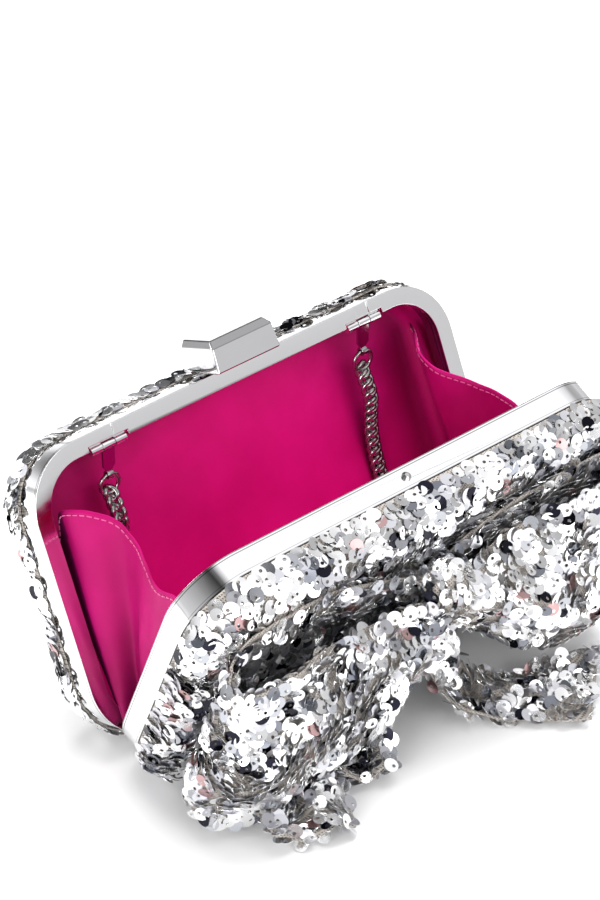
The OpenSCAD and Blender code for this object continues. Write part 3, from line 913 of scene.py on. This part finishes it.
def make_gusset(sign, name, edge_stations):
    """A satin fan between the halves, with a stitched seam along its wavy edge; its satin is painted darker
    than the lining, as shade.
    """
    stations = smooth_line(edge_stations, 6)
    rows = np.linspace(0, 1, GUSSET_ROWS)
    verts = [
        gusset_point(sign, degrees, GUSSET_INNER + share * (edge - GUSSET_INNER), edge)
        for share in rows for degrees, edge in stations
    ]
    gusset = make(name + "_satin_gusset", verts, grid_faces(GUSSET_ROWS, len(stations)), GUSSET_SATIN_PAINTED_SHADE)
    # The left gusset's turned-back part takes the return satin, painted darker as shade.
    gusset.data.materials.append(RETURN_SATIN_PAINTED_SHADE)
    for face in gusset.data.polygons:
        depth = depth_in(REAR, np.array([face.center]))[0]
        face.material_index = int(sign < 0 and depth > RETURN_FROM)
    thicken(gusset, 0.7 * MM)
    stitches = []
    seam = np.array([gusset_point(sign, degrees, edge - SEAM_IN, edge) for degrees, edge in stations])
    seam = even(seam, STITCH_STEP * MM)
    for k in range(0, len(seam) - 3, 3):
        for shift in (-STITCH_OUT * MM, STITCH_OUT * MM):
            stitches.append(tube(seam[k:k + 3] + np.array([shift, 0, 0]), STITCH_R * MM, 6))
    sewn = make(name + "_gusset_stitching", *merge(stitches), PINK_THREAD)
    for piece in (gusset, sewn):
        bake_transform(piece)
    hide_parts(name + "_gusset")


make_gusset(-1, "left", LEFT_EDGE)
make_gusset(1, "right", RIGHT_EDGE)


# ---- Bow --------------------------------------------------------------------------------------------

# Stations along a loop's ribbon, from the knot, out along the panel and back to the knot:
# [x, depth at the lower hem, at the middle, at the upper hem, height of the lower and the upper hem]
LEFT_LOOP = [
    [4, 30, 30, 30, 62, 86], [22, 28.5, 28.5, 28, 48, 94], [45, 28, 28, 27.5, 34, 103],
    [70, 28, 28, 27.5, 26, 105], [90, 31, 30, 28.5, 24, 103], [100, 40, 39, 34, 24, 96],
    [96, 50, 52, 40, 22, 92], [77, 54, 57, 43, 22, 91], [55, 51, 57, 39, 21, 88],
    [34, 50, 55, 36, 25, 84], [18, 47, 50, 36, 36, 84], [4, 42, 45, 37, 48, 84],
]
RIGHT_LOOP = [
    [4, 30, 30, 30, 67, 86], [22, 28.5, 28.5, 28, 54, 94], [45, 28, 28, 27.5, 38, 102],
    [70, 28, 28, 27.5, 30, 104], [88, 31, 31, 28.5, 28, 103], [96, 40, 42, 33, 28, 101],
    [90, 52, 54, 36, 30, 99], [74, 57, 60, 36, 32, 97], [54, 56, 60, 34, 36, 94],
    [34, 48, 55, 34, 46, 90], [18, 42, 48, 36, 57, 86], [4, 38, 43, 37, 66, 85],
]
LOOP_STEPS = 8
LOOP_ROWS = 34
PANEL_CLEAR = 27.2   # least depth of the bow's cloth, just off the sequined panel


def three_way(low, mid, high, share):
    """The quadratic through three values at shares 0, 0.5 and 1."""
    return (low * (2 * share - 1) * (share - 1) + mid * 4 * share * (1 - share)
            + high * share * (2 * share - 1))


def ribbon_loop(sign, stations, seed):
    """Points of a loop's ribbon, rows across and columns along it, pleated towards the knot."""
    line = smooth_line(stations, LOOP_STEPS)
    rows = []
    for share in np.linspace(0, 1, LOOP_ROWS):
        row = []
        for x, low, mid, high, z_low, z_high in line:
            gather = math.exp(-max(x - 6, 0) / 26)
            height = z_low + share * (z_high - z_low)
            pleat = 2.4 * gather * math.sin(share * 2 * math.pi * 4 + seed)
            pleat += 1.5 * math.sin(share * 2 * math.pi * 1.7 + x / 13 + seed) * min(1, x / 30)
            pleat += 2.2 * noise.noise(Vector((x / 22, height / 17, seed + mid / 30)))
            outward = 1 if mid > 35 else 0.35
            hem = 1.6 * noise.noise(Vector((x / 9, seed, 3 + round(share))))
            height += hem * (2 * share - 1)
            depth = three_way(low, mid, high, share) + pleat * outward
            row.append([sign * x, max(depth, PANEL_CLEAR), height])
        rows.append(row)
    return np.array(rows)


def sequined_ribbon(name, points, faces, node, tilt, seed):
    """A ribbon of sequined net on the bow: the cloth, and discs sewn to both of its faces."""
    ribbon = make(name, points, faces, NET)
    rng = np.random.default_rng(seed)
    sequins = []
    for flip in (False, True):
        places, normals = scatter(ribbon, BOW_SPACING, rng, flip=flip)
        label = f"{name}_sequins_{'b' if flip else 'a'}"
        sequins += sew_sequins(label, "front", places, normals, tilt, rng)
    thicken(ribbon, 0.9 * MM)
    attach(ribbon, "front")
    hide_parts(node)


def make_loop(sign, name, stations, seed):
    """One of the bow's two loops."""
    rows = ribbon_loop(sign, stations, seed)
    sequined_ribbon(f"bow_{name}_ribbon", in_half(FRONT, rows).reshape(-1, 3), grid_faces(*rows.shape[:2]),
                    f"bow_{name}_loop", 24, seed + 40)


make_loop(-1, "left", LEFT_LOOP, 2)
make_loop(1, "right", RIGHT_LOOP, 5)


KNOT_DEPTH, KNOT_HEIGHT = 35.0, 76.0
KNOT_HALF = 10.0
KNOT_DEEP, KNOT_TALL = 9.6, 15.0


def make_knot():
    """A strip wrapped round the gathered middle, with creases that run round it."""
    rows = []
    for turn in np.linspace(0, 2 * math.pi, 57):
        row = []
        for x in np.linspace(-KNOT_HALF, KNOT_HALF, 22):
            tuck = 1 - 0.16 * (x / KNOT_HALF) ** 2
            crumple = noise.noise(Vector((x / 5, 2 * math.cos(turn), 2 * math.sin(turn))))
            crease = 0.9 * math.cos(x * 0.95 + 1.2 * math.sin(turn)) + 0.8 * crumple
            depth = KNOT_DEPTH + (KNOT_DEEP * tuck + crease) * math.sin(turn)
            height = KNOT_HEIGHT + (KNOT_TALL * tuck + crease) * math.cos(turn)
            row.append([x + 2.5 * math.cos(turn), max(depth, PANEL_CLEAR), height])
        rows.append(row)
    rows = np.array(rows)
    sequined_ribbon("bow_knot_wrap", in_half(FRONT, rows).reshape(-1, 3), grid_faces(*rows.shape[:2]),
                    "bow_knot", 24, 61)


make_knot()

# Stations along a tail: [x, y from the hinge axis, z, half width, share of that half width along y]
TAILS = {
    "left": [[-8, -50, 44, 7, 0.1], [-22, -50, 28, 9, 0.2], [-40, -52, 13, 12, 0.3],
             [-57, -58, 6, 15, 0.4], [-67, -70, 4, 17, 0.4], [-72, -82, 4, 15, 0.4]],
    "short": [[-8, -52, 42, 6, 0.1], [-16, -54, 26, 7, 0.2], [-25, -58, 12, 8, 0.3],
              [-33, -64, 5, 10, 0.4], [-37, -71, 4, 9, 0.4]],
    "right": [[6, -54, 44, 7, -0.1], [11, -57, 22, 9, -0.2], [22, -62, 7, 13, -0.4],
              [41, -71, 3, 16, -0.5], [62, -86, 2, 17, -0.8]],
}


TAIL_LOWEST = 2.6   # the cloth's least height over the floor, with sequins under it


def make_tail(name, stations, seed):
    """A free end of the ribbon: it drops from the knot and lies rumpled on the floor."""
    line = smooth_line(stations, 9)
    rows = []
    for share in np.linspace(-1, 1, 17):
        row = []
        for x, y, z, half, slant in line:
            crumple = noise.noise(Vector((x / 12, y / 12, share * 2)))
            wave = 2.6 * math.sin(share * 4.2 + x / 9 + seed) + 2.0 * crumple
            lift = max(z + wave + 1.4, TAIL_LOWEST)
            across = x + share * half * 0.9
            row.append([across * MM, HINGE.y + (y - share * half * slant) * MM, lift * MM])
        rows.append(row)
    rows = np.array(rows)
    sequined_ribbon(f"bow_{name}_tail_ribbon", rows.reshape(-1, 3), grid_faces(*rows.shape[:2]),
                    f"bow_{name}_tail", 34, seed + 70)


make_tail("left", TAILS["left"], 1)
make_tail("short", TAILS["short"], 3)
make_tail("right", TAILS["right"], 4)


# ---- Floor and light --------------------------------------------------------------------------------


def make_floor():
    """White paper for the bag to stand on."""
    bpy.ops.mesh.primitive_plane_add(size=12, location=(0, 0, 0))
    floor = bpy.context.object
    floor.name = "floor"
    paint = Paint("white_paper", Roughness=0.9, Base_Color=(0.92, 0.92, 0.92, 1))
    paint.shader.inputs["Specular IOR Level"].default_value = 0.1
    floor.data.materials.append(paint.material)


def area_light(name, place, size, watts, mirrored=True):
    """A soft light aimed at the bag; one that isn't mirrored leaves no patch in the polished metal."""
    data = bpy.data.lights.new(name, "AREA")
    data.shape = "RECTANGLE"
    data.size, data.size_y = size
    data.energy = watts
    light = bpy.data.objects.new(name, data)
    light.location = place
    light.visible_glossy = mirrored
    light.rotation_mode = "QUATERNION"
    light.rotation_quaternion = (Vector((0, 0, 0.06)) - Vector(place)).to_track_quat("-Z", "Y")
    bpy.context.scene.collection.objects.link(light)


# The studio's greys by height: (share of the way from the horizon to overhead, grey)
LEFT_SKY = [(0.0, 0.95), (0.1, 0.7), (0.3, 0.6), (0.6, 0.4), (0.85, 0.14), (0.93, 0.04), (1.0, 0.3)]
RIGHT_SKY = [(0.0, 0.64), (0.1, 0.66), (0.2, 0.74), (0.3, 0.5), (0.48, 0.42), (0.62, 0.8), (0.8, 1.15)]
BACKDROP = [(0.0, 1.15), (0.07, 1.1), (0.15, 0.35), (0.2, 0.05), (0.6, 0.1), (0.8, 0.5)]
SKY_TINT = (1, 1, 1.02)


def make_world():
    """A white studio, dim overhead on the left and dark behind, which the polished metal shows."""
    world = bpy.data.worlds.new("studio")
    world.use_nodes = True
    tree = world.node_tree
    coords = tree.nodes.new("ShaderNodeTexCoord")
    split = tree.nodes.new("ShaderNodeSeparateXYZ")
    tree.links.new(coords.outputs["Generated"], split.inputs[0])

    def ramp(stops):
        """Greys by height, from 0 at the horizon to 1 overhead."""
        made = tree.nodes.new("ShaderNodeValToRGB")
        set_stops(made.color_ramp.elements, stops, SKY_TINT)
        tree.links.new(split.outputs["Z"], made.inputs["Fac"])
        return made.outputs["Color"]

    def blend(first, second, axis, start, end):
        """first where the axis is under start, second where it is over end."""
        share = tree.nodes.new("ShaderNodeMapRange")
        share.inputs["From Min"].default_value = start
        share.inputs["From Max"].default_value = end
        tree.links.new(split.outputs[axis], share.inputs["Value"])
        mix = tree.nodes.new("ShaderNodeMix")
        mix.data_type = "RGBA"
        tree.links.new(share.outputs["Result"], mix.inputs["Factor"])
        tree.links.new(first, mix.inputs[MIX_A])
        tree.links.new(second, mix.inputs[MIX_B])
        return mix.outputs[MIX_RESULT]

    sides = blend(ramp(LEFT_SKY), ramp(RIGHT_SKY), "X", -0.25, -0.05)
    sky = blend(sides, ramp(BACKDROP), "Y", 0.45, 0.6)
    background = tree.nodes["Background"]
    tree.links.new(sky, background.inputs["Color"])
    background.inputs["Strength"].default_value = 1.0
    bpy.context.scene.world = world


make_floor()
make_world()
area_light("overhead", (0.45, 0.3, 1.5), (1.4, 1.3), 34, mirrored=False)
area_light("left", (-1.25, -0.45, 0.5), (0.6, 0.6), 9)
area_light("back", (-0.6, 1.2, 0.7), (0.9, 0.6), 6)
area_light("front", (0.0, -1.4, 0.7), (1.2, 0.6), 7)
bpy.context.scene.view_settings.view_transform = "Standard"
